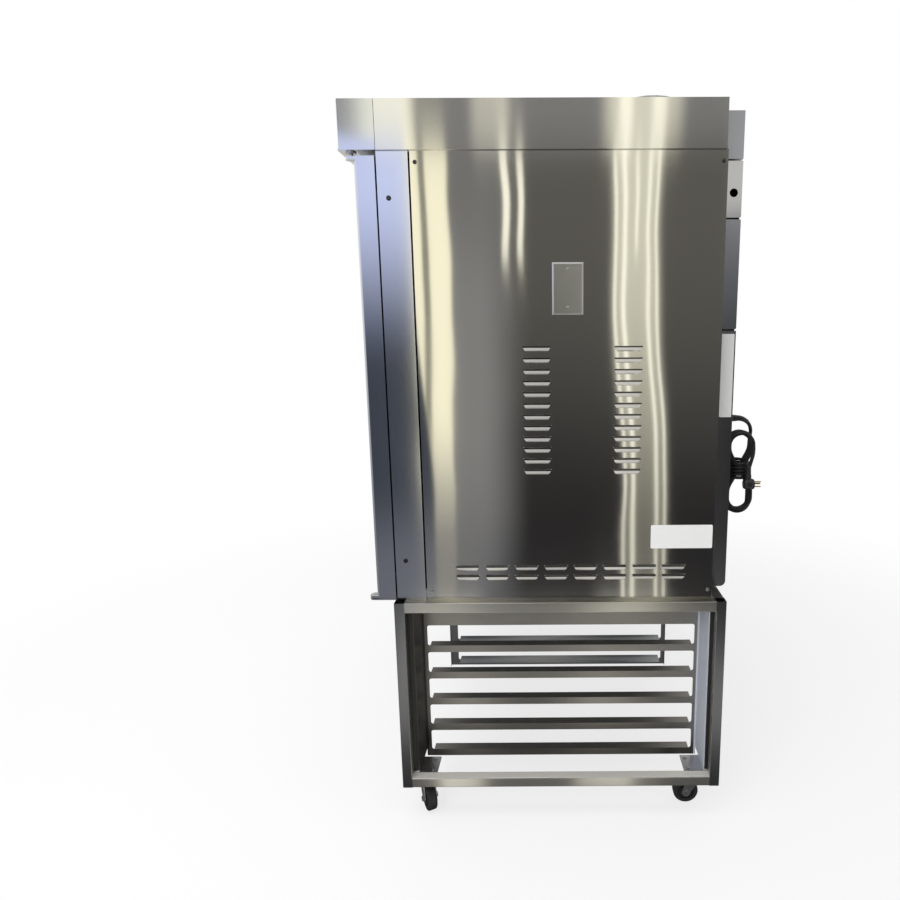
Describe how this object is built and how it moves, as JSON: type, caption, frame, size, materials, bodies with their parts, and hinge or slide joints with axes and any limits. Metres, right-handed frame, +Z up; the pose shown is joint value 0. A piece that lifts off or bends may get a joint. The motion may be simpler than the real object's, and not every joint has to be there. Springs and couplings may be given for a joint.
{
  "type": "rotating rack oven on stand",
  "caption": "Cabinet oven with a tray carrier that turns on a vertical shaft, a windowed door and a control door, on a tube stand with pan slides and swivel casters.",
  "frame": {"origin": "on the floor, under the centre of the outline", "axes": "+X to the right-hand side as seen by a person facing the doors, -Y the front with both doors, +Z up"},
  "size_m": [1.2201, 1.0095, 1.743],
  "materials": {
    "steel_panel": "stainless sheet, upright grain",
    "steel_dark": "stainless sheet in shade",
    "steel_tube": "stainless square tube, ground",
    "liner": "plain stainless sheet",
    "bare_steel": "machined steel",
    "zinc": "bright zinc plate",
    "galvanised": "galvanised sheet",
    "wool": "mineral wool",
    "hot_tube": "heat-tinted stainless tube",
    "brass": "plain brass",
    "motor_paint": "grey paint",
    "cast": "painted casting",
    "chain": "oiled steel",
    "glass": "clear tempered glass",
    "gasket": "black silicone",
    "chrome": "polished",
    "black_plastic": "black, gloss",
    "key": "grey, matte",
    "red_plastic": "red, gloss",
    "tread": "black, hard",
    "cord": "black jacket"
  },
  "bodies": {
    "oven_body": {"side_panel_right": "steel_panel", "side_panel_left": "steel_panel", "front_frame": "steel_panel", "base_pan": "galvanised", "roof_deck": "galvanised", "hood_fascia": "steel_panel", "hood_bands": "steel_panel", "hood_lid": "steel_panel", "vent_box": "steel_panel", "rear_cover_upper": "steel_panel", "rear_cover_middle": "steel_dark", "rear_cover_lower": "steel_dark", "stand_side_right": "steel_tube", "stand_side_left": "steel_tube", "stand_cross_rails": "steel_tube", "slide_panel_right": "steel_dark", "slide_panel_left": "steel_dark", "centre_divider": "steel_dark", "caster_plates": "zinc", "cavity_liner": "liner", "insulation": "wool", "partition": "galvanised", "air_baffle": "liner", "heat_exchanger": "hot_tube", "burner_train": "brass", "flue_duct": "galvanised", "fan_motor": "motor_paint", "carrier_bearings": "cast", "gearmotor": "motor_paint", "drive_chain": "chain", "door_pivots": "bare_steel", "wall_plate": "steel_panel", "screws": "bare_steel", "cord_gland": "black_plastic", "power_cord": "cord", "cord_hank": "cord", "cord_plug": "cord"},
    "oven_door": {"door_skin": "steel_panel", "door_liner": "liner", "door_glass": "glass", "door_gasket": "gasket", "door_handle": "chrome"},
    "control_door": {"control_door": "steel_panel", "control_bezel": "black_plastic"},
    "left_key": {"key_left": "key"},
    "right_key": {"key_right": "key"},
    "stop": {"stop_button": "red_plastic"},
    "knob": {"power_knob": "black_plastic"},
    "rotating_carrier": {"carrier": "liner", "carrier_shaft": "bare_steel"},
    "pinion": {"motor_sprocket": "bare_steel"},
    "fan": {"fan_wheel": "liner"},
    "fork_front_right_body": {"fork_front_right": "zinc"},
    "wheel_front_right_body": {"wheel_front_right": "tread"},
    "fork_front_left_body": {"fork_front_left": "zinc"},
    "wheel_front_left_body": {"wheel_front_left": "tread"},
    "fork_rear_right_body": {"fork_rear_right": "zinc"},
    "wheel_rear_right_body": {"wheel_rear_right": "tread"},
    "fork_rear_left_body": {"fork_rear_left": "zinc"},
    "wheel_rear_left_body": {"wheel_rear_left": "tread"}
  },
  "joints": [
    {"name": "oven_door_hinge", "type": "hinge", "parent": "oven_body", "child": "oven_door", "pos_m": [-0.576, -0.4185, 1.092], "axis": [0, 0, -1], "range_deg": [0, 120]},
    {"name": "control_door_hinge", "type": "hinge", "parent": "oven_body", "child": "control_door", "pos_m": [0.576, -0.4185, 1.092], "axis": [0, 0, 1], "range_deg": [0, 100]},
    {"name": "left_key_press", "type": "slide", "parent": "control_door", "child": "left_key", "axis": [0, 1, 0], "range_m": [0, 0.002], "stiffness_N_per_m": 400, "springref_m": -0.002},
    {"name": "right_key_press", "type": "slide", "parent": "control_door", "child": "right_key", "axis": [0, 1, 0], "range_m": [0, 0.002], "stiffness_N_per_m": 400, "springref_m": -0.002},
    {"name": "stop_press", "type": "slide", "parent": "control_door", "child": "stop", "axis": [0, 1, 0], "range_m": [0, 0.005], "stiffness_N_per_m": 600, "springref_m": -0.002},
    {"name": "knob_turn", "type": "hinge", "parent": "control_door", "child": "knob", "pos_m": [0.4755, -0.4225, 1.282], "axis": [0, 1, 0], "range_deg": [0, 90]},
    {"name": "carrier_spin", "type": "hinge", "parent": "oven_body", "child": "rotating_carrier", "pos_m": [-0.134, 0.0175, 1.522], "axis": [0, 0, 1], "continuous": true},
    {"name": "pinion_spin", "type": "hinge", "parent": "oven_body", "child": "pinion", "pos_m": [-0.344, -0.0025, 1.65], "axis": [0, 0, 1], "continuous": true},
    {"name": "fan_spin", "type": "hinge", "parent": "oven_body", "child": "fan", "pos_m": [0.284, 0.0275, 1.298], "axis": [1, 0, 0], "continuous": true},
    {"name": "front_right_swivel", "type": "hinge", "parent": "oven_body", "child": "fork_front_right_body", "pos_m": [0.5546, -0.3185, 0.095], "axis": [0, 0, 1], "continuous": true},
    {"name": "front_right_roll", "type": "hinge", "parent": "fork_front_right_body", "child": "wheel_front_right_body", "pos_m": [0.57756, -0.30629, 0.0325], "axis": [-0.4695, 0.8829, 0], "continuous": true},
    {"name": "front_left_swivel", "type": "hinge", "parent": "oven_body", "child": "fork_front_left_body", "pos_m": [-0.5546, -0.3185, 0.095], "axis": [0, 0, 1], "continuous": true},
    {"name": "front_left_roll", "type": "hinge", "parent": "fork_front_left_body", "child": "wheel_front_left_body", "pos_m": [-0.5546, -0.2925, 0.0325], "axis": [-1, 0, 0], "continuous": true},
    {"name": "rear_right_swivel", "type": "hinge", "parent": "oven_body", "child": "fork_rear_right_body", "pos_m": [0.5546, 0.3905, 0.095], "axis": [0, 0, 1], "continuous": true},
    {"name": "rear_right_roll", "type": "hinge", "parent": "fork_rear_right_body", "child": "wheel_rear_right_body", "pos_m": [0.5546, 0.3645, 0.0325], "axis": [1, 0, 0], "continuous": true},
    {"name": "rear_left_swivel", "type": "hinge", "parent": "oven_body", "child": "fork_rear_left_body", "pos_m": [-0.5546, 0.3905, 0.095], "axis": [0, 0, 1], "continuous": true},
    {"name": "rear_left_roll", "type": "hinge", "parent": "fork_rear_left_body", "child": "wheel_rear_left_body", "pos_m": [-0.5546, 0.3645, 0.0325], "axis": [1, 0, 0], "continuous": true}
  ],
  "couplings": [
    {"joint": "pinion_spin", "follows": "carrier_spin", "ratio": 4}
  ]
}
